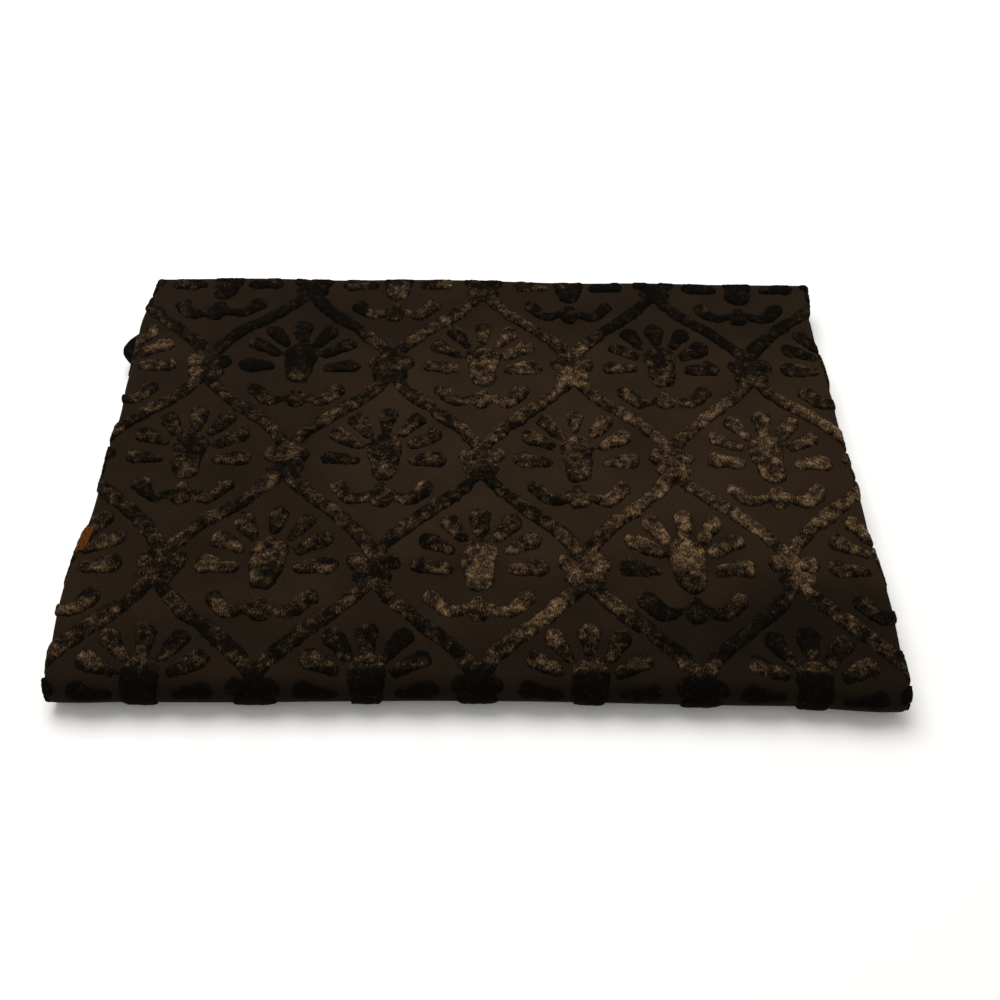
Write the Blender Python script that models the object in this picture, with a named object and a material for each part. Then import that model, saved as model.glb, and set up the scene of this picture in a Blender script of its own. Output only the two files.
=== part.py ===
"""Evening stole of brown cut velvet, folded in eight layers to a flat pad.

The stole is folded in quarters along its length and then once across, so one large round fold lies at
the front, small folds lie at both sides and the long edges lie at the rear. Metres, +Z up, and the front
fold faces -Y. The outermost cloth is a real wall whose outer points carry the raised pile; the folds hidden
under it share one rounded solid, layered at its edges.
"""
import math
from collections import namedtuple

import bmesh
import bpy
import numpy as np

# Driving sizes
WIDTH = 0.500            # side fold to side fold
DEPTH = 0.350            # front fold to rear edges
STACK = 0.0245           # eight layers and the air between them, without the soft rises of the top
CLOTH = 0.0020           # one wall: woven ground and the root of its pile
PILE = 0.0016            # height of the cut pile over the ground
PILE_EDGE = 0.0022       # the pile rounds off over this width
HEM = 0.0040             # the pile dies away over this width towards the rear edge
GAP = 0.0003             # clearance between pieces that touch
SIDE_ROLL = 0.0032       # outer radius of a side fold, two cloths thick
TUCK = 0.0030            # the cloth runs on this far inside a side fold
FRONT_ROLL = STACK / 2   # outer radius of the front fold

# The path of the outermost cloth from its rear edge over the top, round the front and back underneath
TOP_RUN = DEPTH - FRONT_ROLL
FRONT_RUN = math.pi * FRONT_ROLL
UNDER_START = TOP_RUN + FRONT_RUN
PATH = UNDER_START + TOP_RUN
FLAT = WIDTH / 2 - SIDE_ROLL
ROLL_RUN = math.pi * SIDE_ROLL
REACH = FLAT + ROLL_RUN + TUCK

# Soft rises of the top cloth: centre and half-length and half-width in metres, turn in degrees, rise in metres
Rise = namedtuple("Rise", "name x y half_length half_width turn rise")
RISES = [
    Rise("puff behind the front fold", 0.000, -0.128, 0.230, 0.040, 0, 0.0014),
    Rise("soft ridge left of the middle", -0.050, 0.020, 0.150, 0.020, 78, 0.0009),
    Rise("slanting ridge at the rear left", -0.165, 0.105, 0.110, 0.016, -52, 0.0013),
    Rise("slanting ridge at the rear right", 0.150, 0.110, 0.120, 0.020, 35, 0.0011),
    Rise("swell at the right", 0.185, -0.030, 0.075, 0.055, 80, 0.0012),
    Rise("swell at the left", -0.205, -0.040, 0.070, 0.040, 95, 0.0011),
    Rise("puff along the rear edges", 0.020, 0.150, 0.210, 0.028, 2, 0.0008),
]

# How far the side folds of the top wander outwards, by side (-1 left, 1 right)
Wander = namedtuple("Wander", "side y half_length out")
TOP_WANDERS = [
    Wander(-1, -0.105, 0.060, 0.0042),
    Wander(-1, 0.037, 0.028, -0.0014),
    Wander(-1, 0.130, 0.035, 0.0030),
    Wander(1, 0.125, 0.048, -0.0038),
    Wander(1, -0.110, 0.040, 0.0016),
    Wander(1, -0.030, 0.040, 0.0012),
    Wander(-1, 0.085, 0.130, 0.0026),
    Wander(1, 0.030, 0.150, -0.0024),
]

OUTSIDE = -99.0          # depth given to places far from any stroke, in millimetres
NEAR = 6.0               # a stroke is worked out this far around itself, in millimetres

# Pile chart in millimetres, across and along the cloth. A row is one stroke of pile, drawn through its
# points, as wide as given at its start and end. Every chart is mirrored about its own upright axis.
Stroke = namedtuple("Stroke", "name start_width end_width points")


def arc(across, along, radius, start, end, steps=8):
    """Points on a round stretch, from one angle to another in degrees."""
    angles = [math.radians(start + (end - start) * step / steps) for step in range(steps + 1)]
    return [(across + radius * math.cos(a), along + radius * math.sin(a)) for a in angles]


def flower(across, along, spread, petal_width, petals=5):
    """Round petals about a middle."""
    places = arc(across, along, spread, 90, 90 + 360 * (petals - 1) / petals, petals - 1)
    middle = Stroke("flower heart", spread, spread, [(across, along)] * 2)
    return [middle] + [Stroke("petal", petal_width, petal_width, [place] * 2) for place in places]


def ogee(half_width, half_height, side, steps=8):
    """Points of a stem of the net, which swings out from a point on its axis as half a cosine wave."""
    shares = [step / steps for step in range(steps + 1)]
    return [
        (half_width * (1 - math.cos(math.pi * share)) / 2, side * half_height * (1 - share)) for share in shares]


# A plain ogee net with a palmette in every mesh and a rosette at every crossing, all on round sizes.
NET_HALF_WIDTH = 65.0
NET_HALF_HEIGHT = 86.25  # four of these make one length of the woven repeat
NET = [
    Stroke("upper stem", 10, 10, ogee(NET_HALF_WIDTH, NET_HALF_HEIGHT, 1)),
    Stroke("lower stem", 10, 10, ogee(NET_HALF_WIDTH, NET_HALF_HEIGHT, -1)),
    *flower(0, NET_HALF_HEIGHT, 10, 13),
    *flower(NET_HALF_WIDTH, 0, 10, 13),
]

PALMETTE = [
    Stroke("heart", 18, 24, [(0, -10), (0, 10)]),
    Stroke("foot", 8, 14, [(0, -26), (0, -34)]),
    Stroke("top petal", 8, 14, [(0, 26), (0, 38)]),
    Stroke("upper petal", 8, 13, [(12, 22), (20, 34)]),
    Stroke("side petal", 8, 13, [(18, 12), (32, 20)]),
    Stroke("low petal", 8, 13, [(20, -2), (36, 0)]),
    Stroke("leaf", 6, 12, [(4, -30), (18, -34), (28, -24)]),
]

# Where each chart lies on the cloth, in millimetres from the middle and from the front, with its turn in degrees
# and its own scale across and along. Palmettes stand in every second place, so the rows are offset by half.
Placing = namedtuple("Placing", "chart across along turn wide high")
PLACINGS = [
    Placing(NET, 2 * NET_HALF_WIDTH * column, NET_HALF_HEIGHT * (2 * row + 1), 0, 1.00, 1.00)
    for row in range(-1, 2) for column in range(-2, 3)
] + [
    Placing(PALMETTE, NET_HALF_WIDTH * column, NET_HALF_HEIGHT * row, 0, 1.00, 1.00)
    for row in range(-1, 5) for column in range(-4, 5) if (row + column) % 2
]

# Outer stretches of the wall, as spacings of its lines
TOP_CELL = 0.0046        # fine lines, thinned afterwards where the cloth is plain
PLAIN_CELL = 0.026       # lines of the plain inside
KEPT_SHARE = 0.56        # share of the triangles left after thinning

# Hidden folds from the table up: heights between which each lies and how far it stands back, in metres
Layer = namedtuple("Layer", "name low high side_inset rear_inset")
LAYERS = [
    Layer("cloth inside the lowest side folds", 0.0023, 0.0062, 0.0105, 0.0040),
    Layer("lower inner fold", 0.0069, 0.0118, 0.0008, 0.0010),
    Layer("upper inner fold", 0.0122, 0.0171, 0.0022, 0.0035),
    Layer("cloth inside the top side folds", 0.0175, 0.0219, 0.0118, 0.0020),
]
LAYER_ROUND = 0.0022     # depth of the groove between two layers
ROUND_SHARE = 0.3        # each layer rounds off over this share of its height, above and below
SIDE_CORNERS = 36        # corners of a layer's outline along each side, the front and the rear
FRONT_CORNERS = 7
REAR_CORNERS = 9
LAYER_WANDERS = {
    "lower inner fold": [Wander(-1, -0.090, 0.030, 0.0030), Wander(1, -0.028, 0.024, 0.0052)],
    "upper inner fold": [Wander(-1, 0.108, 0.024, 0.0165), Wander(1, 0.060, 0.050, 0.0020)],
}
INNER_FRONT_ROLL = FRONT_ROLL - CLOTH - 0.0014
INNER_SIDE_ROLL = FRONT_ROLL - 2 * SIDE_ROLL - 0.0007
FRONT_CORNER_INSET = 0.0118

# Amber satin tab at the left fold: middle from the front, half-width along the fold, reach each way, wall
TAB_ALONG = 0.103
TAB_HALF = 0.0075
TAB_ON_TOP = 0.0050
TAB_DOWN = 0.0050
TAB_CLOTH = 0.0010


def bump(distance):
    """Soft rise, 1 at the middle and 0 from a distance of 1 on."""
    near = np.clip(1 - np.asarray(distance) ** 2, 0, 1)
    return near * near


def top_rise(x, y):
    """Height of the soft rises of the top over its lowest level."""
    total = np.zeros_like(x)
    for rise in RISES:
        turn = math.radians(rise.turn)
        across = (x - rise.x) * math.cos(turn) + (y - rise.y) * math.sin(turn)
        along = (y - rise.y) * math.cos(turn) - (x - rise.x) * math.sin(turn)
        total += rise.rise * bump(np.hypot(across / rise.half_length, along / rise.half_width))
    return total


def wander(rows, side, y):
    """How far a side fold stands out at a place along it."""
    total = np.zeros_like(y)
    for row in rows:
        total += np.where(side == row.side, row.out * bump((y - row.y) / row.half_length), 0)
    return total


def smooth_line(points, spans=5):
    """Points of a smooth curve through the given ones."""
    ends = [points[0]] + list(points) + [points[-1]]
    line = []
    for before, start, end, after in zip(ends, ends[1:], ends[2:], ends[3:]):
        for step in range(spans):
            t = step / spans
            line.append([
                0.5 * (2 * b + (c - a) * t + (2 * a - 5 * b + 4 * c - d) * t * t + (3 * b - a - 3 * c + d) * t ** 3)
                for a, b, c, d in zip(before, start, end, after)])
    line.append(list(points[-1]))
    return np.array(line)


def stroke_depth(u, v, line, radii):
    """How deep places lie inside one stroke, negative outside it."""
    depth = np.full(u.shape, OUTSIDE)
    ends = zip(line, line[1:], radii, radii[1:])
    for (start_u, start_v), (end_u, end_v), radius, end_radius in ends:
        run_u, run_v = end_u - start_u, end_v - start_v
        length = max(run_u ** 2 + run_v ** 2, 1e-9)
        share = np.clip(((u - start_u) * run_u + (v - start_v) * run_v) / length, 0, 1)
        away = np.hypot(u - start_u - share * run_u, v - start_v - share * run_v)
        depth = np.maximum(depth, radius + (end_radius - radius) * share - away)
    return depth


def pile_depth(across, along):
    """How deep each place of the cloth lies inside a stroke of pile, in millimetres, negative outside."""
    depth = np.full(across.shape, OUTSIDE)
    for placing in PLACINGS:
        turn = math.radians(placing.turn)
        right, ahead = across - placing.across, along - placing.along
        u = np.abs(right * math.cos(turn) + ahead * math.sin(turn)) / placing.wide
        v = (ahead * math.cos(turn) - right * math.sin(turn)) / placing.high
        for stroke in placing.chart:
            line = smooth_line(stroke.points)
            radii = np.linspace(stroke.start_width, stroke.end_width, len(line)) / 2
            middle = (line.min(axis=0) + line.max(axis=0)) / 2
            reach = np.hypot(*(line - middle).T).max() + radii.max() + NEAR
            near = np.hypot(u - middle[0], v - middle[1]) < reach
            found = stroke_depth(u[near], v[near], line, radii) * placing.wide
            depth[near] = np.maximum(depth[near], found)
    return depth


def pile_height(s, t):
    """Height of the pile over the ground, at a place across the cloth and along its path."""
    along = DEPTH - t
    depth = pile_depth(s * 1000, along * 1000) / 1000
    rounded = np.clip(depth / PILE_EDGE, 0, 1)
    height = PILE * np.sqrt(1 - (1 - rounded) ** 2)
    hem = np.clip(t / HEM, 0, 1)
    below = np.clip((UNDER_START - t) / (0.30 * FRONT_RUN), 0, 1)
    inside_roll = np.clip((FLAT + 0.70 * ROLL_RUN - np.abs(s)) / (0.15 * ROLL_RUN), 0, 1)
    tab = np.hypot((s + FLAT) / (TAB_ON_TOP + TAB_DOWN), (along - TAB_ALONG) / (1.6 * TAB_HALF))
    return height * hem * below ** 2 * inside_roll * np.clip(2 * tab - 1.4, 0, 1)


def cloth_point(s, t, lift):
    """Places on the outermost cloth: s across, t along its path, lift outwards from the woven ground."""
    side = np.sign(s)
    roll = np.clip((np.abs(s) - FLAT) / SIDE_ROLL, 0, math.pi)
    tuck = np.clip(np.abs(s) - FLAT - ROLL_RUN, 0, None)
    x = side * (np.minimum(np.abs(s), FLAT) + (SIDE_ROLL + lift) * np.sin(roll) - tuck)
    sunk = SIDE_ROLL * (np.cos(roll) - 1) + lift * np.cos(roll)

    bend = np.clip((t - TOP_RUN) / FRONT_ROLL, 0, math.pi)
    under = np.clip(t - UNDER_START, 0, None)
    path_y = np.where(t < TOP_RUN, DEPTH - t, FRONT_ROLL * (1 - np.sin(bend))) + under
    path_z = FRONT_ROLL * (1 + np.cos(bend))
    out_y, out_z = -np.sin(bend), np.cos(bend)

    y = path_y - DEPTH / 2
    on_top = np.clip(1 - bend / math.pi, 0, 1)
    x = x + side * wander(TOP_WANDERS, side, y) * bump(1 - np.clip(np.abs(s) / FLAT, 0, 1)) * on_top
    rise = top_rise(x, y) * on_top ** 2
    return np.stack([x, y + (sunk + rise) * out_y, path_z + (sunk + rise) * out_z], axis=-1)


def runs(*stretches):
    """Line places from stretches of (start, end, spacing)."""
    places = [stretches[0][0]]
    for start, end, spacing in stretches:
        count = max(1, round(abs(end - start) / spacing))
        places += [start + (end - start) * step / count for step in range(1, count + 1)]
    return np.array(places)


def lines_across(cell, roll_cell):
    """Line places from one side fold to the other."""
    roll_end = FLAT + ROLL_RUN
    return runs((-REACH, -roll_end, TUCK), (-roll_end, -FLAT, roll_cell), (-FLAT, FLAT, cell),
                (FLAT, roll_end, roll_cell), (roll_end, REACH, TUCK))


def grid_on_cloth(mesh, s_lines, t_lines, lift):
    """Lays a grid on the cloth, outside or inside by the lift, and gives its corners by line and row."""
    made = bmesh.ops.create_grid(mesh, x_segments=len(s_lines) - 1, y_segments=len(t_lines) - 1, size=0.5)
    corners = np.array([vert.co for vert in made["verts"]]) + 0.5
    columns = np.rint(corners[:, 0] * (len(s_lines) - 1)).astype(int)
    rows = np.rint(corners[:, 1] * (len(t_lines) - 1)).astype(int)
    s, t = s_lines[columns], t_lines[rows]
    height = lift(s, t) if callable(lift) else np.full(s.shape, lift)
    for vert, place in zip(made["verts"], cloth_point(s, t, height)):
        vert.co = place
    return {(column, row): vert for column, row, vert in zip(columns, rows, made["verts"])}


def close_rim(mesh, outer, inner):
    """Fills the rim between two edges of the cloth whose corners stand at unlike places."""
    here, there = 0, 0
    while here + 1 < len(outer) or there + 1 < len(inner):
        next_outer = outer[here + 1][0] if here + 1 < len(outer) else math.inf
        next_inner = inner[there + 1][0] if there + 1 < len(inner) else math.inf
        if next_outer <= next_inner:
            mesh.faces.new((outer[here][1], outer[here + 1][1], inner[there][1]))
            here += 1
        else:
            mesh.faces.new((outer[here][1], inner[there + 1][1], inner[there][1]))
            there += 1


def new_object(name, mesh, material):
    """Puts a finished mesh into the stole's collection under its own name."""
    data = bpy.data.meshes.new(name)
    mesh.to_mesh(data)
    mesh.free()
    data.materials.append(material)
    piece = bpy.data.objects.new(name, data)
    stole.objects.link(piece)
    data.shade_smooth()
    data.set_sharp_from_angle(angle=math.radians(50))
    return piece


def cloth_wall(name, outer, inner, outer_lift, inner_lift, material):
    """A closed wall of cloth: outer points, a plain inside and the rim between them."""
    mesh = bmesh.new()
    sheets = [(lines, grid_on_cloth(mesh, *lines, lift)) for lines, lift in ((outer, outer_lift), (inner, inner_lift))]
    for at_end in (False, True):
        along_rows, along_columns = [], []
        for (s_lines, t_lines), corners in sheets:
            column = len(s_lines) - 1 if at_end else 0
            row = len(t_lines) - 1 if at_end else 0
            along_rows.append([(place, corners[index, row]) for index, place in enumerate(s_lines)])
            along_columns.append([(place, corners[column, index]) for index, place in enumerate(t_lines)])
        close_rim(mesh, *along_rows)
        close_rim(mesh, *along_columns)
    bmesh.ops.recalc_face_normals(mesh, faces=mesh.faces)
    return new_object(name, mesh, material)


def velvet(name, colour, roughness):
    """A plain cloth finish."""
    material = bpy.data.materials.new(name)
    material.use_nodes = True
    shader = material.node_tree.nodes["Principled BSDF"]
    shader.inputs["Base Color"].default_value = (*colour, 1)
    shader.inputs["Roughness"].default_value = roughness
    shader.inputs["Metallic"].default_value = 0
    return material


def top_and_front():
    """The stretch of velvet that shows: the top, the front fold and the side folds of both."""
    end = UNDER_START - GAP
    front_cell = FRONT_RUN / 9
    outer = (lines_across(TOP_CELL, ROLL_RUN / 4), runs((0, TOP_RUN, TOP_CELL), (TOP_RUN, end, front_cell)))
    inner = (lines_across(PLAIN_CELL, ROLL_RUN / 4), runs((0, TOP_RUN, PLAIN_CELL), (TOP_RUN, end, front_cell)))
    wall = cloth_wall("velvet_top_and_front", outer, inner, pile_height, -CLOTH,
                      velvet("velvet_pile", (0.031, 0.021, 0.012), 0.75))
    between_rolls = wall.vertex_groups.new(name="between the side folds")
    thinned = [v.index for v in wall.data.vertices
               if abs(v.co.x) < FLAT - SIDE_ROLL and v.co.y < DEPTH / 2 - TOP_CELL and v.co.z > FRONT_ROLL]
    between_rolls.add(thinned, 1, "REPLACE")
    thin = wall.modifiers.new("thin the plain cloth", "DECIMATE")
    thin.vertex_group = between_rolls.name
    thin.ratio = KEPT_SHARE
    return wall


def underside():
    """The last layer, flat on the table, with its side folds turned up."""
    start = UNDER_START + GAP
    lines = (lines_across(0.09, ROLL_RUN / 4), runs((start, PATH, 0.085)))
    return cloth_wall("velvet_underside", lines, lines, 0.0, -CLOTH,
                      velvet("velvet_ground", (0.018, 0.012, 0.008), 0.6))


def layer_ring(layer, z, inset):
    """Outline of a hidden layer at one height, from the rear left round the front to the rear right."""
    from_axis = abs(z - FRONT_ROLL)
    front_y = FRONT_ROLL - math.sqrt(max(0, INNER_FRONT_ROLL ** 2 - from_axis ** 2))
    side_y = FRONT_ROLL - math.sqrt(max(0, INNER_SIDE_ROLL ** 2 - from_axis ** 2))
    rear_y = DEPTH - layer.rear_inset - inset
    side_x = WIDTH / 2 - layer.side_inset - inset
    front_x = WIDTH / 2 - FRONT_CORNER_INSET
    rows = LAYER_WANDERS.get(layer.name, [])
    ring = []
    side_places = np.linspace(rear_y, FRONT_ROLL, SIDE_CORNERS)
    for side, ys in ((-1, side_places), (1, side_places[::-1])):
        out = wander(rows, side, ys - DEPTH / 2)
        edge = [(side * (side_x + o), y) for o, y in zip(out, ys)]
        corner = [(side * side_x, side_y), (side * min(side_x, front_x), side_y)]
        ring += edge + corner if side < 0 else corner[::-1] + edge
        if side < 0:
            ring += [(x, front_y) for x in np.linspace(GAP - front_x, front_x - GAP, FRONT_CORNERS)]
    ring += [(x, rear_y) for x in np.linspace(side_x, -side_x, REAR_CORNERS)[1:-1]]
    return [(x, y - DEPTH / 2, z) for x, y in ring]


def inner_folds():
    """The hidden folds as one solid, lofted from the outline of each layer at four heights."""
    mesh = bmesh.new()
    rings = []
    for layer in LAYERS:
        rounding = ROUND_SHARE * (layer.high - layer.low)
        for z, inset in ((layer.low, LAYER_ROUND), (layer.low + rounding, 0),
                         (layer.high - rounding, 0), (layer.high, LAYER_ROUND)):
            rings.append([mesh.verts.new(place) for place in layer_ring(layer, z, inset)])
    for lower, upper in zip(rings, rings[1:]):
        for index in range(len(lower)):
            after = (index + 1) % len(lower)
            mesh.faces.new((lower[index], lower[after], upper[after], upper[index]))
    mesh.faces.new(rings[0])
    mesh.faces.new(rings[-1])
    bmesh.ops.remove_doubles(mesh, verts=mesh.verts, dist=0.00005)
    bmesh.ops.recalc_face_normals(mesh, faces=mesh.faces)
    return new_object("velvet_inner_folds", mesh, velvet("velvet_folds", (0.018, 0.012, 0.008), 0.75))


def lining_corner():
    """The amber satin tab that laps over the left fold, made from the cloth's points moved out."""
    s_lines = runs((-FLAT - TAB_DOWN, -FLAT, TAB_DOWN / 3), (-FLAT, -FLAT + TAB_ON_TOP, TAB_ON_TOP / 2))
    middle = DEPTH - TAB_ALONG
    t_lines = runs((middle - TAB_HALF, middle + TAB_HALF, TAB_HALF / 2))
    lines = (s_lines, t_lines)
    return cloth_wall("lining_corner", lines, lines, GAP + TAB_CLOTH, GAP,
                      velvet("amber_satin", (0.255, 0.078, 0.016), 0.4))


def centre_over_origin():
    """Moves the folded stole so that the middle of its plan lies over the origin."""
    bpy.context.view_layer.update()
    corners = np.array([corner for piece in stole.objects for corner in piece.bound_box])
    middle = (corners.min(axis=0) + corners.max(axis=0)) / 2
    for piece in stole.objects:
        piece.location = (-middle[0], -middle[1], 0)


for leftover in list(bpy.data.objects):
    bpy.data.objects.remove(leftover, do_unlink=True)

stole = bpy.data.collections.new("evening_stole")
bpy.context.scene.collection.children.link(stole)

top_and_front()
underside()
inner_folds()
lining_corner()
centre_over_origin()
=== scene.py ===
import math
from collections import namedtuple

import bpy
import numpy as np
from mathutils import Matrix, Vector


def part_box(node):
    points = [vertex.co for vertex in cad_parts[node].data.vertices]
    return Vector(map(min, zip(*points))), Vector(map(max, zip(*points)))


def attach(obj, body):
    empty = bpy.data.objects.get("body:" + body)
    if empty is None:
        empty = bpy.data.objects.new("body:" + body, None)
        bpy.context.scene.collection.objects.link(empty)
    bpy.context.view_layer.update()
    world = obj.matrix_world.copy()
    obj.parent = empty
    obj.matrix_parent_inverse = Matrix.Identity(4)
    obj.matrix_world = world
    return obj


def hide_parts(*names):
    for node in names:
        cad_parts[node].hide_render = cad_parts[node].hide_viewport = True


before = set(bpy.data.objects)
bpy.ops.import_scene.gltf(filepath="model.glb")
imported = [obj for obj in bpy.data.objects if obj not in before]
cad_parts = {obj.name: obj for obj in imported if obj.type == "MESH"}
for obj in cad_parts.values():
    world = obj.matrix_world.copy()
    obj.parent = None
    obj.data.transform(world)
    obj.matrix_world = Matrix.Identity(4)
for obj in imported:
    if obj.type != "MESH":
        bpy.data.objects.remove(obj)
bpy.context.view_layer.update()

# Table, light and view.
# A plain pale surface lies under the folded stole. One broad soft lamp hangs high and behind it, as in a
# studio tent, and the view looks down on it at 53 degrees from the front fold.
VIEW_PLACE = (0.0106, -0.4503, 0.5680)
VIEW_DOWN = 52.65
VIEW_ROLL = 1.18
VIEW_TURN = -0.905
LENS_MM = 37.8
FLOOR_SIZE = 9.0
LAMP_PLACE = (-0.35, 0.75, 1.7)
LAMP_SIZE = 1.6
LAMP_WATTS = 34


def linear(hex_colour):
    """A colour written as sRGB hex, as the shader wants it."""
    parts = [int(hex_colour[place:place + 2], 16) / 255 for place in (1, 3, 5)]
    return tuple(p / 12.92 if p <= 0.04045 else ((p + 0.055) / 1.055) ** 2.4 for p in parts) + (1,)


def add_node(tree, kind, inputs=None, **settings):
    """Adds a node with its settings, and for each input a value or the output that it is linked to."""
    node = tree.nodes.new(kind)
    for name, value in settings.items():
        setattr(node, name, value)
    for name, value in (inputs or {}).items():
        if isinstance(value, bpy.types.NodeSocket):
            tree.links.new(value, node.inputs[name])
        else:
            node.inputs[name].default_value = value
    return node


def new_material(name):
    """A material with its Principled shader, and that shader and the node tree."""
    material = bpy.data.materials.new(name)
    material.use_nodes = True
    return material, material.node_tree, material.node_tree.nodes["Principled BSDF"]


bpy.ops.object.select_all(action="DESELECT")
bpy.ops.mesh.primitive_plane_add(size=FLOOR_SIZE, location=(0, 0, 0))
table = bpy.context.object
table.name = "pale_table"
bpy.ops.object.mode_set(mode="EDIT")
bpy.ops.transform.translate(value=(0, 0, -0.0003))
bpy.ops.object.mode_set(mode="OBJECT")

paper, tree, shader = new_material("matt_white_paper")
grain = add_node(tree, "ShaderNodeTexNoise", {"Scale": 900, "Detail": 2})
bump = add_node(tree, "ShaderNodeBump", {"Strength": 0.04, "Distance": 0.0002, "Height": grain.outputs["Fac"]})
tree.links.new(bump.outputs["Normal"], shader.inputs["Normal"])
shader.inputs["Base Color"].default_value = linear("#F2F1EF")
shader.inputs["Roughness"].default_value = 0.95
shader.inputs["Specular IOR Level"].default_value = 0.1
table.data.materials.append(paper)

lamp = bpy.data.objects.new("soft_lamp", bpy.data.lights.new("soft_lamp", "AREA"))
lamp.data.shape = "DISK"
lamp.data.size = LAMP_SIZE
lamp.data.energy = LAMP_WATTS
lamp.location = LAMP_PLACE
lamp.rotation_euler = (-Vector(LAMP_PLACE)).to_track_quat("-Z", "Y").to_euler()
bpy.context.collection.objects.link(lamp)

world = bpy.data.worlds.new("soft_tent")
world.use_nodes = True
world.node_tree.nodes["Background"].inputs["Color"].default_value = linear("#FBFAF8")
world.node_tree.nodes["Background"].inputs["Strength"].default_value = 0.62
bpy.context.scene.world = world
bpy.context.scene.view_settings.view_transform = "Standard"

camera = bpy.data.objects.new("view", bpy.data.cameras.new("view"))
camera.data.lens = LENS_MM
camera.data.sensor_width = 36
camera.data.sensor_height = 36
camera.data.clip_start = 0.01
camera.matrix_world = (
    Matrix.Translation(VIEW_PLACE) @ Matrix.Rotation(math.radians(VIEW_TURN), 4, "Z")
    @ Matrix.Rotation(math.radians(90 - VIEW_DOWN), 4, "X") @ Matrix.Rotation(math.radians(VIEW_ROLL), 4, "Z"))
bpy.context.collection.objects.link(camera)
bpy.context.scene.camera = camera


# Outer cloth of the stole.
# Brown cut velvet: a fine twill ground, woven in one width, whose pile stands only in the motifs. The outermost
# stretch lies over the top, turns round the large front fold and runs back underneath, and its sides are
# folded inwards.
WIDTH = 0.500            # side fold to side fold
DEPTH = 0.350            # front fold to rear edges
STACK = 0.0245           # eight layers, without the soft rises of the top
CLOTH = 0.0018
SIDE_ROLL = 0.0032       # outer radius of a side fold
TUCK = 0.0030            # the cloth runs on this far inside a side fold
FRONT_ROLL = STACK / 2   # outer radius of the front fold
RECESS = 0.0010          # underneath, the ground stands this far off the table, on its pile

TOP_RUN = DEPTH - FRONT_ROLL
FRONT_RUN = math.pi * FRONT_ROLL
UNDER_START = TOP_RUN + FRONT_RUN
PATH = UNDER_START + TOP_RUN
FLAT = WIDTH / 2 - SIDE_ROLL
ROLL_RUN = math.pi * SIDE_ROLL
REACH = FLAT + ROLL_RUN + TUCK

under_low, under_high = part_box("velvet_underside")
MIDDLE_X = (under_low.x + under_high.x) / 2
MIDDLE_Y = under_high.y - DEPTH / 2

# Soft rises and troughs of the top: centre, half-length and half-width in metres, turn in degrees, rise in metres
Rise = namedtuple("Rise", "name x y half_length half_width turn rise")
RISES = [
    Rise("puff behind the front fold", 0.000, -0.128, 0.230, 0.040, 0, 0.0014),
    Rise("soft ridge left of the middle", -0.050, 0.020, 0.150, 0.020, 78, 0.0009),
    Rise("slanting ridge at the rear left", -0.165, 0.105, 0.110, 0.016, -52, 0.0013),
    Rise("slanting ridge at the rear right", 0.150, 0.110, 0.120, 0.020, 35, 0.0011),
    Rise("swell at the right", 0.185, -0.030, 0.075, 0.055, 80, 0.0012),
    Rise("swell at the left", -0.205, -0.040, 0.070, 0.040, 95, 0.0011),
    Rise("puff along the rear edges", 0.020, 0.150, 0.210, 0.028, 2, 0.0008),
    Rise("shallow trough behind the front puff", 0.040, -0.088, 0.150, 0.012, 4, -0.0005),
    Rise("faint crease at the middle right", 0.105, 0.020, 0.110, 0.008, 62, 0.0006),
    Rise("faint crease at the left", -0.150, -0.020, 0.090, 0.007, -28, 0.0005),
    Rise("short pucker at the right side", 0.228, 0.040, 0.030, 0.010, 15, 0.0007),
    Rise("short pucker at the left side", -0.228, 0.015, 0.028, 0.009, -20, 0.0006),
    Rise("rear trough right of the middle", 0.075, 0.120, 0.060, 0.010, -50, -0.0006),
]

# How far the side folds wander outwards, by side (-1 left, 1 right)
Wander = namedtuple("Wander", "side y half_length out")
TOP_WANDERS = [
    Wander(-1, -0.105, 0.060, 0.0042),
    Wander(-1, 0.037, 0.028, -0.0014),
    Wander(-1, 0.130, 0.035, 0.0030),
    Wander(1, 0.125, 0.048, -0.0038),
    Wander(1, -0.110, 0.040, 0.0016),
    Wander(1, -0.030, 0.040, 0.0012),
    Wander(-1, 0.085, 0.130, 0.0026),
    Wander(1, 0.030, 0.150, -0.0024),
]

# How far the front fold (-1) and the rear edges (1) bow outwards
Bow = namedtuple("Bow", "end x half_length out")
BOWS = [
    Bow(1, -0.170, 0.075, 0.0022),
    Bow(1, -0.035, 0.105, 0.0026),
    Bow(1, 0.125, 0.050, 0.0010),
    Bow(-1, 0.000, 0.170, -0.0020),
    Bow(-1, 0.240, 0.060, 0.0036),
    Bow(-1, -0.235, 0.030, 0.0008),
]


def swell(distance):
    """Soft rise, 1 at the middle and 0 from a distance of 1 on."""
    near = np.clip(1 - np.asarray(distance) ** 2, 0, 1)
    return near * near


def top_rise(x, y):
    """Height of the soft rises of the top over its lowest level."""
    total = np.zeros_like(x)
    for rise in RISES:
        turn = math.radians(rise.turn)
        across = (x - rise.x) * math.cos(turn) + (y - rise.y) * math.sin(turn)
        along = (y - rise.y) * math.cos(turn) - (x - rise.x) * math.sin(turn)
        total += rise.rise * swell(np.hypot(across / rise.half_length, along / rise.half_width))
    return total


def wander(rows, side, y):
    """How far a side fold stands out at a place along it."""
    total = np.zeros_like(y)
    for row in rows:
        total += np.where(side == row.side, row.out * swell((y - row.y) / row.half_length), 0)
    return total


def bow(x, y):
    """How far a place is moved along the stole because its end bows."""
    total = np.zeros_like(y)
    for row in BOWS:
        near = np.clip((row.end * y - 0.08) / 0.09, 0, 1) ** 2
        total += row.end * row.out * near * swell((x - row.x) / row.half_length)
    return total


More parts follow.
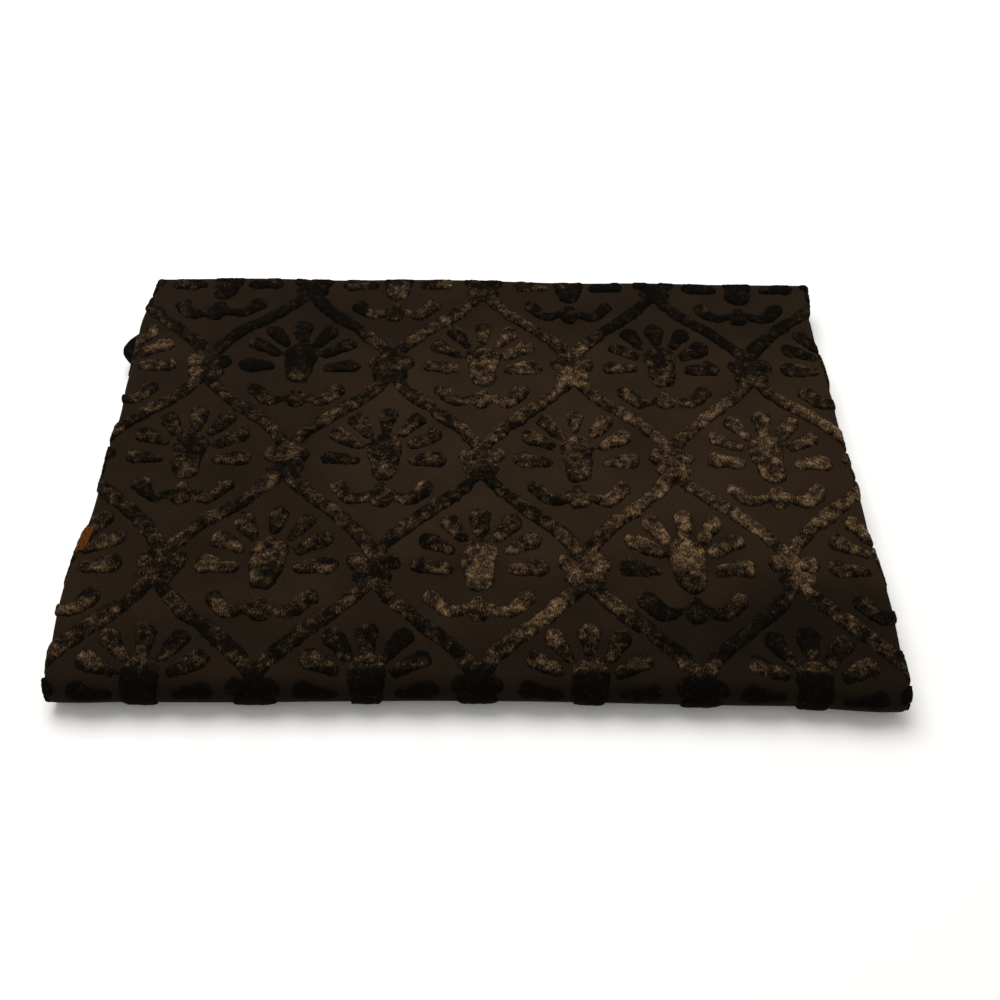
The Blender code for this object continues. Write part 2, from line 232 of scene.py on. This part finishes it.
def cloth_point(s, t, lift):
    """Places on the outer cloth: s across, t along its path, lift outwards from its woven ground."""
    bend = np.clip((t - TOP_RUN) / FRONT_ROLL, 0, math.pi)
    lift = lift - RECESS * (bend / math.pi) ** 2
    side = np.sign(s)
    roll = np.clip((np.abs(s) - FLAT) / SIDE_ROLL, 0, math.pi)
    tuck = np.clip(np.abs(s) - FLAT - ROLL_RUN, 0, None)
    x = side * (np.minimum(np.abs(s), FLAT) + (SIDE_ROLL + lift) * np.sin(roll) - tuck)
    sunk = SIDE_ROLL * (np.cos(roll) - 1) + lift * np.cos(roll)

    under = np.clip(t - UNDER_START, 0, None)
    path_y = np.where(t < TOP_RUN, DEPTH - t, FRONT_ROLL * (1 - np.sin(bend))) + under
    path_z = FRONT_ROLL * (1 + np.cos(bend))
    out_y, out_z = -np.sin(bend), np.cos(bend)

    y = path_y - DEPTH / 2
    on_top = np.clip(1 - bend / math.pi, 0, 1)
    x = x + side * wander(TOP_WANDERS, side, y) * swell(1 - np.clip(np.abs(s) / FLAT, 0, 1)) * on_top
    rise = top_rise(x, y) * on_top ** 2
    y = y + bow(x, y)
    return np.stack([
        x + MIDDLE_X, y + (sunk + rise) * out_y + MIDDLE_Y, path_z + (sunk + rise) * out_z], axis=-1)


def runs(*stretches):
    """Line places from stretches of (start, end, spacing)."""
    places = [stretches[0][0]]
    for start, end, spacing in stretches:
        count = max(1, round(abs(end - start) / spacing))
        places += [start + (end - start) * step / count for step in range(1, count + 1)]
    return np.array(places)


def laid_grid(name, s_lines, t_lines):
    """A flat grid whose corners stand at the lines' places, with those places as its UV map, in metres."""
    bpy.ops.object.select_all(action="DESELECT")
    bpy.ops.mesh.primitive_grid_add(x_subdivisions=len(s_lines) - 1, y_subdivisions=len(t_lines) - 1, size=1)
    sheet = bpy.context.object
    sheet.name = name
    corners = read_corners(sheet) + 0.5
    s = s_lines[np.rint(corners[:, 0] * (len(s_lines) - 1)).astype(int)]
    t = t_lines[np.rint(corners[:, 1] * (len(t_lines) - 1)).astype(int)]
    loops = np.empty(len(sheet.data.loops), dtype=np.int32)
    sheet.data.loops.foreach_get("vertex_index", loops)
    sheet.data.uv_layers[0].data.foreach_set("uv", np.stack([s[loops], t[loops]], axis=-1).ravel())
    move_corners(sheet, np.stack([s, t, np.zeros_like(s)], axis=-1))
    return sheet


def read_corners(sheet):
    """Places of a mesh's corners."""
    corners = np.empty(len(sheet.data.vertices) * 3)
    sheet.data.vertices.foreach_get("co", corners)
    return corners.reshape(-1, 3)


def move_corners(sheet, places):
    """Puts a mesh's corners at the given places."""
    sheet.data.vertices.foreach_set("co", np.ascontiguousarray(places).ravel())
    sheet.data.update()


def thicken(sheet, thickness):
    """Gives a sheet its thickness, inwards from its outer face."""
    bpy.ops.object.select_all(action="DESELECT")
    sheet.select_set(True)
    bpy.context.view_layer.objects.active = sheet
    wall = sheet.modifiers.new("cloth thickness", "SOLIDIFY")
    wall.thickness = thickness
    wall.offset = -1
    bpy.ops.object.modifier_apply(modifier=wall.name)
    bpy.ops.object.shade_smooth()


def face_outwards(sheet):
    """Turns an open sheet's faces so that they look away from the middle of the stole."""
    middle = Vector((MIDDLE_X, MIDDLE_Y, FRONT_ROLL))
    outward = sum(face.normal.dot(face.center - middle) * face.area for face in sheet.data.polygons)
    if outward < 0:
        sheet.data.flip_normals()


# Painted light and shade on the ground, lighter in the middle and darker at the sides, rear and front fold:
# middle across and from the front and half-sizes, in millimetres, then its level
Patch = namedtuple("Patch", "name across along half_across half_along level")
PAINTED_LIGHT_PATCHES = [
    Patch("middle", 20, 190, 110, 90, 1.00),
    Patch("right of the middle", 190, 200, 70, 80, 0.98),
    Patch("left", -190, 180, 80, 110, 0.62),
    Patch("rear left", -150, 320, 110, 40, 0.50),
    Patch("rear right", 140, 325, 130, 34, 0.62),
    Patch("front left", -150, 22, 120, 30, 0.50),
    Patch("front middle", 0, 16, 90, 24, 0.45),
    Patch("front right", 190, 26, 90, 44, 0.34),
    Patch("front fold, left", -130, -18, 140, 22, 0.18),
    Patch("front fold, right", 130, -18, 140, 22, 0.18),
    Patch("right of the middle, towards the front", 110, 74, 50, 20, 0.70),
    Patch("middle, towards the front", -10, 60, 60, 30, 0.62),
]
PAINTED_LIGHT_ELSEWHERE = 0.70


def patched(rows, elsewhere, across, along):
    """Level at each place, blended from the patches near it."""
    weights, total = np.full(across.shape, 0.25), np.full(across.shape, 0.25 * elsewhere)
    for row in rows:
        near = swell(0.72 * np.hypot((across - row.across) / row.half_across, (along - row.along) / row.half_along))
        weights += 3 * near
        total += 3 * near * row.level
    return total / weights


roll_end = FLAT + ROLL_RUN
across_lines = runs((-REACH, -roll_end, TUCK), (-roll_end, -FLAT, ROLL_RUN / 8), (-FLAT, FLAT, 0.0042),
                    (FLAT, roll_end, ROLL_RUN / 8), (roll_end, REACH, TUCK))
path_lines = runs((0, TOP_RUN, 0.0042), (TOP_RUN, UNDER_START, FRONT_RUN / 18), (UNDER_START, PATH, 0.010))
ground = laid_grid("velvet_ground_cloth", across_lines, path_lines)
flat_places = read_corners(ground)
move_corners(ground, cloth_point(flat_places[:, 0], flat_places[:, 1], 0.0))
face_outwards(ground)
# Painted light and shade: a level that scales the ground's colour, lighter in the middle, darker at the sides, rear
# and front fold.
painted_light = ground.data.attributes.new("painted_light", "FLOAT", "POINT")
painted_light.data.foreach_set(
    "value", patched(PAINTED_LIGHT_PATCHES, PAINTED_LIGHT_ELSEWHERE, flat_places[:, 0] * 1000, (DEPTH - flat_places[:, 1]) * 1000))
thicken(ground, CLOTH)

# Woven silk and cotton twill, matt, its colour scaled by painted light and shade: lighter in the middle, darker at the
# sides, the rear and over the front fold. Its threads are 0.4 mm apart, too fine to show, so they are drawn as a faint
# grain 0.7 mm wide and a fainter twill line 1.0 mm apart.
TWILL_LINES = 1 / 0.0010
THREADS = 1 / 0.0007
twill, tree, shader = new_material("woven_twill_ground")
places = add_node(tree, "ShaderNodeUVMap")
slant = add_node(tree, "ShaderNodeMapping", {"Vector": places.outputs["UV"], "Rotation": (0, 0, math.radians(38))})
twill_line = add_node(tree, "ShaderNodeTexWave", {
    "Vector": slant.outputs["Vector"], "Scale": TWILL_LINES / 6.283, "Distortion": 1.2, "Detail": 2})
threads = add_node(tree, "ShaderNodeTexNoise", {"Vector": places.outputs["UV"], "Scale": THREADS, "Detail": 2})
cloudy = add_node(tree, "ShaderNodeTexNoise", {"Vector": places.outputs["UV"], "Scale": 22, "Detail": 3})
woven = add_node(tree, "ShaderNodeMath", {
    0: twill_line.outputs["Fac"], 1: 0.05, 2: threads.outputs["Fac"]}, operation="MULTIPLY_ADD")
shade = add_node(tree, "ShaderNodeMath", {
    0: cloudy.outputs["Fac"], 1: 0.4, 2: woven.outputs[0]}, operation="MULTIPLY_ADD")
tone = add_node(tree, "ShaderNodeValToRGB", {"Fac": shade.outputs[0]})
tone.color_ramp.elements[0].position = 0.50
tone.color_ramp.elements[0].color = linear("#130C06")
tone.color_ramp.elements[1].position = 0.95
tone.color_ramp.elements[1].color = linear("#302315")
# Painted light and shade: the colour is scaled by the level laid on the cloth.
painted_light = add_node(tree, "ShaderNodeAttribute", attribute_name="painted_light")
painted_light_colour = add_node(tree, "ShaderNodeVectorMath", {
    0: tone.outputs["Color"], "Scale": painted_light.outputs["Fac"]}, operation="SCALE")
weave = add_node(tree, "ShaderNodeBump", {"Strength": 0.5, "Distance": 0.0003, "Height": woven.outputs[0]})
tree.links.new(painted_light_colour.outputs["Vector"], shader.inputs["Base Color"])
tree.links.new(weave.outputs["Normal"], shader.inputs["Normal"])
shader.inputs["Roughness"].default_value = 0.9
shader.inputs["Specular IOR Level"].default_value = 0.06
shader.inputs["Sheen Weight"].default_value = 0.015
shader.inputs["Sheen Roughness"].default_value = 0.5
shader.inputs["Sheen Tint"].default_value = linear("#B08A5C")
ground.data.materials.clear()
ground.data.materials.append(twill)
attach(ground, "root")
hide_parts("velvet_top_and_front", "velvet_underside")


# Raised pile of the outer cloth.
# Cut silk pile, 1.6 mm high, stands in a net of stems, palmettes and rosettes and ends in a soft ruffled edge.
# Its colour is painted: black as painted shade and bronze as painted sheen, laid over broad areas of the cloth.
PILE = 0.0016
PILE_CELL = 0.00118      # spacing of the fine grid that the pile is made from
UNDER_CELL = 0.0026      # and of the one underneath, which lies pressed on the table
EDGE_RUN = 0.65          # the pile reaches two thirds of its height this far in, in millimetres
LEAN = (-0.20, 0.45)     # the tips lean this far across and backwards for each millimetre of height
OUTSIDE = -99.0          # depth given to places far from any stroke, in millimetres
NEAR = 6.0               # a stroke is worked out this far around itself, in millimetres
REPEAT = 345.0           # the motifs come again after this length of cloth, in millimetres

# Pile chart in millimetres, across and along the cloth. A row is one stroke of pile, drawn through its
# points, as wide as given at its start and end. Every chart is mirrored about its own upright axis.
Stroke = namedtuple("Stroke", "name start_width end_width points")


def arc(across, along, radius, start, end, steps=8):
    """Points on a round stretch, from one angle to another in degrees."""
    angles = [math.radians(start + (end - start) * step / steps) for step in range(steps + 1)]
    return [(across + radius * math.cos(a), along + radius * math.sin(a)) for a in angles]


def flower(across, along, spread, petal_width, petals=5):
    """Round petals about a middle."""
    stands = arc(across, along, spread, 90, 90 + 360 * (petals - 1) / petals, petals - 1)
    middle = Stroke("flower heart", spread, spread, [(across, along)] * 2)
    return [middle] + [Stroke("petal", petal_width, petal_width, [stand] * 2) for stand in stands]


def ogee(half_width, half_height, side, steps=8):
    """Points of a stem of the net, which swings out from a point on its axis as half a cosine wave."""
    shares = [step / steps for step in range(steps + 1)]
    return [
        (half_width * (1 - math.cos(math.pi * share)) / 2, side * half_height * (1 - share)) for share in shares]


# A plain ogee net with a palmette in every mesh and a rosette at every crossing, all on round sizes.
NET_HALF_WIDTH = 65.0
NET_HALF_HEIGHT = 86.25  # four of these make one length of the woven repeat
NET = [
    Stroke("upper stem", 10, 10, ogee(NET_HALF_WIDTH, NET_HALF_HEIGHT, 1)),
    Stroke("lower stem", 10, 10, ogee(NET_HALF_WIDTH, NET_HALF_HEIGHT, -1)),
    *flower(0, NET_HALF_HEIGHT, 10, 13),
    *flower(NET_HALF_WIDTH, 0, 10, 13),
]

PALMETTE = [
    Stroke("heart", 18, 24, [(0, -10), (0, 10)]),
    Stroke("foot", 8, 14, [(0, -26), (0, -34)]),
    Stroke("top petal", 8, 14, [(0, 26), (0, 38)]),
    Stroke("upper petal", 8, 13, [(12, 22), (20, 34)]),
    Stroke("side petal", 8, 13, [(18, 12), (32, 20)]),
    Stroke("low petal", 8, 13, [(20, -2), (36, 0)]),
    Stroke("leaf", 6, 12, [(4, -30), (18, -34), (28, -24)]),
]

# Where each chart lies on the cloth, in millimetres from the middle and from the front. Palmettes stand in every
# second place, so their rows are offset by half.
Placing = namedtuple("Placing", "chart across along")
PLACINGS = [
    Placing(NET, 2 * NET_HALF_WIDTH * column, NET_HALF_HEIGHT * (2 * row + 1))
    for row in range(-1, 2) for column in range(-2, 3)
] + [
    Placing(PALMETTE, NET_HALF_WIDTH * column, NET_HALF_HEIGHT * row)
    for row in range(-1, 5) for column in range(-4, 5) if (row + column) % 2
]

# Painted sheen and shade over broad areas of the cloth, from 0, black as painted shade, to 1, bright bronze as painted
# sheen
PAINTED_SHEEN_PATCHES = [
    Patch("rear left corner", -230, 250, 40, 50, 0.65),
    Patch("rear left shade", -155, 300, 60, 45, 0.10),
    Patch("rear middle", -35, 300, 55, 40, 0.65),
    Patch("middle", 35, 230, 70, 60, 0.75),
    Patch("left middle", -100, 180, 60, 50, 0.55),
    Patch("left, towards the front", -115, 75, 70, 40, 0.60),
    Patch("middle, towards the front", 30, 70, 55, 35, 0.85),
    Patch("right middle", 180, 150, 90, 70, 0.92),
    Patch("rear right shade", 165, 318, 100, 38, 0.10),
    Patch("left edge", -240, 80, 30, 60, 0.60),
    Patch("front shade at the left", -100, 26, 100, 16, 0.20),
    Patch("front shade at the right", 148, 40, 50, 18, 0.16),
]
PAINTED_SHEEN_ELSEWHERE = 0.46
CREST_START = 11.0       # in front of this, the pile is painted black as shade over the front fold, in millimetres
CREST_END = 23.0


def soft_noise(u, v, size, seed):
    """Smooth noise between -1 and 1 over places in the same unit as its size."""
    steps = np.random.default_rng(seed).uniform(-1, 1, (256, 256))
    u, v = u / size + 61.7, v / size + 87.3
    column, row = np.floor(u).astype(int), np.floor(v).astype(int)
    right, up = u - column, v - row
    right, up = right * right * (3 - 2 * right), up * up * (3 - 2 * up)
    low = steps[column % 256, row % 256] * (1 - right) + steps[(column + 1) % 256, row % 256] * right
    high = steps[column % 256, (row + 1) % 256] * (1 - right) + steps[(column + 1) % 256, (row + 1) % 256] * right
    return low * (1 - up) + high * up


def smooth_line(points, spans=5):
    """Points of a smooth curve through the given ones."""
    ends = [points[0]] + list(points) + [points[-1]]
    line = []
    for before, start, end, after in zip(ends, ends[1:], ends[2:], ends[3:]):
        for step in range(spans):
            t = step / spans
            line.append([
                0.5 * (2 * b + (c - a) * t + (2 * a - 5 * b + 4 * c - d) * t * t + (3 * b - a - 3 * c + d) * t ** 3)
                for a, b, c, d in zip(before, start, end, after)])
    line.append(list(points[-1]))
    return np.array(line)


def stroke_depth(u, v, line, radii):
    """How deep places lie inside one stroke, negative outside it."""
    depth = np.full(u.shape, OUTSIDE)
    ends = zip(line, line[1:], radii, radii[1:])
    for (start_u, start_v), (end_u, end_v), radius, end_radius in ends:
        run_u, run_v = end_u - start_u, end_v - start_v
        length = max(run_u ** 2 + run_v ** 2, 1e-9)
        share = np.clip(((u - start_u) * run_u + (v - start_v) * run_v) / length, 0, 1)
        away = np.hypot(u - start_u - share * run_u, v - start_v - share * run_v)
        depth = np.maximum(depth, radius + (end_radius - radius) * share - away)
    return depth


def pile_depth(s, t):
    """How deep each place of the cloth lies inside a stroke of pile, in millimetres, negative outside."""
    across, along = s * 1000, (DEPTH - t) * 1000
    depth = np.full(across.shape, OUTSIDE)
    placings = PLACINGS + [p._replace(along=p.along - REPEAT) for p in PLACINGS]
    for placing in placings:
        u, v = np.abs(across - placing.across), along - placing.along
        for stroke in placing.chart:
            line = smooth_line(stroke.points)
            radii = np.linspace(stroke.start_width, stroke.end_width, len(line)) / 2
            middle = (line.min(axis=0) + line.max(axis=0)) / 2
            reach = np.hypot(*(line - middle).T).max() + radii.max() + NEAR
            near = np.hypot(u - middle[0], v - middle[1]) < reach
            found = stroke_depth(u[near], v[near], line, radii)
            depth[near] = np.maximum(depth[near], found)
    swelling = 1.1 * soft_noise(across, along, 13, 2)
    ruffle = 0.80 * soft_noise(across, along, 4.6, 3) + 0.55 * soft_noise(across, along, 2.0, 4)
    return depth + swelling + ruffle


def paint_sheen_and_shade(s, t):
    """Painted sheen and shade at each place, from 0, black, to 1, bright bronze."""
    across, along = s * 1000, (DEPTH - t) * 1000
    painted_sheen_level = patched(PAINTED_SHEEN_PATCHES, PAINTED_SHEEN_ELSEWHERE, across, along)
    broken = soft_noise(across, along, 14, 11) * 0.6 + soft_noise(across, along, 6, 12) * 0.7
    painted_sheen_level = painted_sheen_level + 0.38 * broken
    # A painted highlight runs along the crest of the front fold, and in front of it the pile fades to black as painted
    # shade.
    crest_line = (CREST_START + CREST_END) / 2 + 6 * soft_noise(across, along, 31, 13)
    crest = swell((along - crest_line - 3 * broken) / 7.5)
    painted_sheen_level = painted_sheen_level + crest * (0.92 - painted_sheen_level) * 0.62
    return np.clip(painted_sheen_level, 0, 1) * np.clip((along - CREST_START) / 5 + 0.35 * broken + 0.4, 0, 1)


def make_pile(name, s_lines, t_lines):
    """Pile caps over every stroke that lies on a stretch of the cloth, with its painted sheen and shade as an
    attribute.
    """
    pile = laid_grid(name, s_lines, t_lines)
    s, t = read_corners(pile)[:, :2].T
    depth = pile_depth(s, t)
    faces = np.empty(len(pile.data.loops), dtype=np.int32)
    pile.data.loops.foreach_get("vertex_index", faces)
    bare = depth[faces.reshape(-1, 4)].max(axis=1) <= 0
    bpy.context.tool_settings.mesh_select_mode = (False, False, True)
    pile.data.vertices.foreach_set("select", np.zeros(len(pile.data.vertices), dtype=bool))
    pile.data.edges.foreach_set("select", np.zeros(len(pile.data.edges), dtype=bool))
    pile.data.polygons.foreach_set("select", bare)
    bpy.ops.object.mode_set(mode="EDIT")
    bpy.ops.mesh.delete(type="FACE")
    bpy.ops.object.mode_set(mode="OBJECT")

    s, t = read_corners(pile)[:, :2].T
    depth = pile_depth(s, t)
    step = 0.0002
    slope_s = (pile_depth(s + step, t) - depth) / (step * 1000)
    slope_t = (pile_depth(s, t + step) - depth) / (step * 1000)
    steep = np.maximum(slope_s ** 2 + slope_t ** 2, 0.25)
    outside = np.minimum(depth, 0)
    s, t = s - outside * slope_s / steep / 1000, t - outside * slope_t / steep / 1000
    inside = np.maximum(depth, 0)

    across, along = s * 1000, t * 1000
    uneven = 0.10 * soft_noise(across, along, 9, 5) + 0.13 * soft_noise(across, along, 3.1, 6)
    tips = np.random.default_rng(7).uniform(-0.10, 0.10, s.shape)
    below = np.clip((PATH - t) / 0.004, 0, 1) * np.clip(t / 0.0015, 0, 1)
    height = PILE * (1 - np.exp(-inside / EDGE_RUN)) * (1 + uneven + tips) * below
    height = np.minimum(height, np.where(t > TOP_RUN + 0.75 * FRONT_RUN, RECESS * 0.97, 1))
    height = np.where(depth <= 0, -0.0002, height)
    lean_s, lean_t = LEAN[0] * height, -LEAN[1] * height
    move_corners(pile, cloth_point(s + lean_s, t + lean_t, height))
    face_outwards(pile)

    # The painted sheen is lowered towards each stroke's edge, as painted shade on the pile's sides.
    painted_sheen_level = pile.data.attributes.new("painted_sheen", "FLOAT", "POINT")
    painted_sheen_level.data.foreach_set("value", paint_sheen_and_shade(s, t) * np.clip(0.45 + inside / 1.6, 0, 1))
    bpy.ops.object.shade_smooth()
    return pile


top_pile = make_pile(
    "velvet_pile_top",
    runs((-FLAT - 0.6 * ROLL_RUN, FLAT + 0.6 * ROLL_RUN, PILE_CELL)),
    runs((0.0006, TOP_RUN + 0.80 * FRONT_RUN, PILE_CELL)))
under_pile = make_pile(
    "velvet_pile_underneath",
    runs((-FLAT - 0.3 * ROLL_RUN, FLAT + 0.3 * ROLL_RUN, UNDER_CELL)),
    runs((TOP_RUN + 0.80 * FRONT_RUN, PATH - 0.002, UNDER_CELL)))

# Silk velvet pile: no shine of its own. Its colour runs from black, painted shade, to bronze, painted sheen, by the
# level laid on the cloth. Single fibres are far too fine to show, so they are drawn as streaks 0.7 mm wide and 2 mm
# long.
STREAK = 1 / 0.0008
velvet, tree, shader = new_material("silk_velvet_pile")
places = add_node(tree, "ShaderNodeUVMap")
painted_sheen_level = add_node(tree, "ShaderNodeAttribute", attribute_name="painted_sheen")
turned = add_node(tree, "ShaderNodeMapping", {
    "Vector": places.outputs["UV"], "Rotation": (0, 0, math.radians(14)), "Scale": (1, 0.42, 1)})
streaks = add_node(tree, "ShaderNodeTexNoise", {
    "Vector": turned.outputs["Vector"], "Scale": STREAK, "Detail": 3, "Roughness": 0.6})
clumps = add_node(tree, "ShaderNodeTexNoise", {
    "Vector": places.outputs["UV"], "Scale": 1 / 0.0048, "Detail": 2, "Roughness": 0.6})
grain = add_node(tree, "ShaderNodeMath", {
    0: clumps.outputs["Fac"], 1: 0.8, 2: streaks.outputs["Fac"]}, operation="MULTIPLY_ADD")
grain = add_node(tree, "ShaderNodeMath", {0: grain.outputs[0], 1: 1.6, 2: -1.48}, operation="MULTIPLY_ADD")
raised = add_node(tree, "ShaderNodeMath", {
    0: painted_sheen_level.outputs["Fac"], 1: 0.69, 2: grain.outputs[0]}, operation="MULTIPLY_ADD")
tone = add_node(tree, "ShaderNodeValToRGB", {"Fac": raised.outputs[0]})
tone.color_ramp.elements[0].position = 0.10
tone.color_ramp.elements[0].color = linear("#060402")
tone.color_ramp.elements[1].position = 0.98
tone.color_ramp.elements[1].color = linear("#705B42")
for position, colour in ((0.30, "#130D07"), (0.52, "#2B2014"), (0.76, "#4D3B28")):
    tone.color_ramp.elements.new(position).color = linear(colour)
fibres = add_node(tree, "ShaderNodeBump", {
    "Strength": 0.6, "Distance": 0.0006, "Height": streaks.outputs["Fac"]})
tree.links.new(tone.outputs["Color"], shader.inputs["Base Color"])
tree.links.new(fibres.outputs["Normal"], shader.inputs["Normal"])
shader.inputs["Roughness"].default_value = 0.95
shader.inputs["Specular IOR Level"].default_value = 0.04
shader.inputs["Sheen Weight"].default_value = 0.02
shader.inputs["Sheen Roughness"].default_value = 0.35
shader.inputs["Sheen Tint"].default_value = linear("#A88C68")

for pile, node in ((top_pile, "velvet_top_and_front"), (under_pile, "velvet_underside")):
    pile.data.materials.clear()
    pile.data.materials.append(velvet)
    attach(pile, "root")
    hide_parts(node)


# Folds inside the stole.
# Three more stretches of the same velvet lie nested in the front fold, from the outside in. The second lines
# the outer one, and the third is folded in at its own sides round the fourth. Their long edges end at the
# rear, and their folds bulge out at the sides.
Nested = namedtuple("Nested", "name outer_roll cloth rear_inset flat side_roll")
NESTED = [
    Nested("velvet_second_cloth", 0.0090, 0.0024, 0.0030, FLAT - TUCK - 0.0006, 0),
    Nested("velvet_third_cloth", 0.0056, 0.0020, 0.0012, 0.2466, 0.0024),
    Nested("velvet_fourth_cloth", 0.0027, 0.0018, 0.0040, 0.2430, 0),
]
NESTED_CELL = 0.0024
# The third cloth's folds wander: on top and underneath, by side
UPPER_WANDERS = [Wander(-1, 0.108, 0.028, 0.0165), Wander(-1, -0.060, 0.050, -0.0020), Wander(1, 0.060, 0.050, 0.0020)]
LOWER_WANDERS = [Wander(-1, -0.090, 0.030, 0.0030), Wander(1, -0.028, 0.026, 0.0052), Wander(1, 0.110, 0.040, 0.0014)]


def nested_point(nested, s, t, lift):
    """Places on an inner stretch of cloth, laid round the same front axis as the outer one."""
    turn_y = DEPTH - nested.rear_inset - FRONT_ROLL
    front_run = math.pi * nested.outer_roll
    bend = np.clip((t - turn_y) / nested.outer_roll, 0, math.pi)
    side = np.sign(s)
    beyond = np.clip(np.abs(s) - nested.flat, 0, None)
    roll = np.clip(beyond / max(nested.side_roll, 1e-6), 0, math.pi)
    tuck = np.clip(beyond - math.pi * nested.side_roll, 0, None)
    x = side * (np.minimum(np.abs(s), nested.flat) + (nested.side_roll + lift) * np.sin(roll) - tuck)
    sunk = nested.side_roll * (np.cos(roll) - 1) + lift * np.cos(roll)
    under = np.clip(t - turn_y - front_run, 0, None)
    path_y = np.where(t < turn_y, DEPTH - nested.rear_inset - t, FRONT_ROLL - nested.outer_roll * np.sin(bend)) + under
    path_z = FRONT_ROLL + nested.outer_roll * np.cos(bend)
    y = path_y - DEPTH / 2
    on_top = np.clip(1 - bend / math.pi, 0, 1)
    if nested.side_roll:
        out = wander(UPPER_WANDERS, side, y) * on_top + wander(LOWER_WANDERS, side, y) * (1 - on_top)
        x = x + side * out * swell(2 * (1 - np.clip(np.abs(s) / nested.flat, 0, 1)))
    y = y + bow(x, y)
    waves = 0.0004 * soft_noise(s * 1000, t * 1000, 38, 21)
    return np.stack([
        x + MIDDLE_X, y - (sunk + waves) * np.sin(bend) + MIDDLE_Y, path_z + (sunk + waves) * np.cos(bend)], axis=-1)


for nested in NESTED:
    path = 2 * (DEPTH - nested.rear_inset - FRONT_ROLL) + math.pi * nested.outer_roll
    reach = nested.flat + (math.pi * nested.side_roll + 0.0034 if nested.side_roll else 0)
    fine = nested.flat - 0.008
    lines = runs((-reach, -fine, NESTED_CELL / 2), (-fine, fine, 0.012), (fine, reach, NESTED_CELL / 2))
    cloth = laid_grid(nested.name, lines, runs((0, path, NESTED_CELL)))
    s, t = read_corners(cloth)[:, :2].T
    tufts = 0.35 * soft_noise(s * 1000, t * 1000, 5, 31) + 0.30 * soft_noise(s * 1000, t * 1000, 2.4, 32)
    tufts = 0.001 * np.clip(tufts, -0.3, 0.5) * (np.abs(s) > fine)
    move_corners(cloth, nested_point(nested, s, t, tufts))
    face_outwards(cloth)
    # The inner stretches get a low, randomly varied level of the same painted sheen, so they show mostly black.
    painted_sheen_level = cloth.data.attributes.new("painted_sheen", "FLOAT", "POINT")
    painted_sheen_level.data.foreach_set("value", np.clip(0.22 + 0.35 * soft_noise(s * 1000, t * 1000, 11, 33), 0, 1))
    thicken(cloth, nested.cloth)
    cloth.data.materials.clear()
    cloth.data.materials.append(velvet)
    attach(cloth, "root")
    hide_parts("velvet_inner_folds")


# Amber satin tab.
# A small tab of lining satin, 18 mm wide, laps over the left side fold and is sewn in under the velvet there.
TAB_ALONG = 0.105
TAB_HALF = 0.0090
TAB_ON_TOP = 0.0036
TAB_DOWN = 0.0068
TAB_CLOTH = 0.0006

tab_lines = runs((-FLAT - TAB_DOWN, -FLAT + TAB_ON_TOP, 0.0005))
tab_path = runs((DEPTH - TAB_ALONG - TAB_HALF, DEPTH - TAB_ALONG + TAB_HALF, 0.0005))
tab = laid_grid("amber_satin_tab", tab_lines, tab_path)
s, t = read_corners(tab)[:, :2].T
from_middle = (t - (DEPTH - TAB_ALONG)) / TAB_HALF
puckers = 0.00018 * np.sin(9 * from_middle + 500 * s) + 0.0004 * (1 - from_middle ** 2)
rounded = np.clip((np.abs(from_middle) - 0.7) / 0.3, 0, 1) ** 2 * np.clip((s + FLAT) / TAB_ON_TOP, 0, 1) * 0.002
move_corners(tab, cloth_point(s - rounded, t, 0.0008 + TAB_CLOTH + puckers))
face_outwards(tab)
thicken(tab, TAB_CLOTH)

# Satin of viscose, woven so that its warp floats: smooth, with a long soft gloss along the threads.
satin, tree, shader = new_material("amber_viscose_satin")
places = add_node(tree, "ShaderNodeUVMap")
stretched = add_node(tree, "ShaderNodeMapping", {"Vector": places.outputs["UV"], "Scale": (1, 0.12, 1)})
floats = add_node(tree, "ShaderNodeTexNoise", {"Vector": stretched.outputs["Vector"], "Scale": 2600, "Detail": 2})
tone = add_node(tree, "ShaderNodeValToRGB", {"Fac": floats.outputs["Fac"]})
tone.color_ramp.elements[0].position = 0.35
tone.color_ramp.elements[0].color = linear("#241002")
tone.color_ramp.elements[1].position = 0.65
tone.color_ramp.elements[1].color = linear("#5A2E06")
ribs = add_node(tree, "ShaderNodeBump", {"Strength": 0.3, "Distance": 0.0002, "Height": floats.outputs["Fac"]})
tree.links.new(tone.outputs["Color"], shader.inputs["Base Color"])
tree.links.new(ribs.outputs["Normal"], shader.inputs["Normal"])
shader.inputs["Roughness"].default_value = 0.6
shader.inputs["Specular IOR Level"].default_value = 0.03
shader.inputs["Anisotropic"].default_value = 0.4
tab.data.materials.clear()
tab.data.materials.append(satin)
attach(tab, "root")
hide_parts("lining_corner")
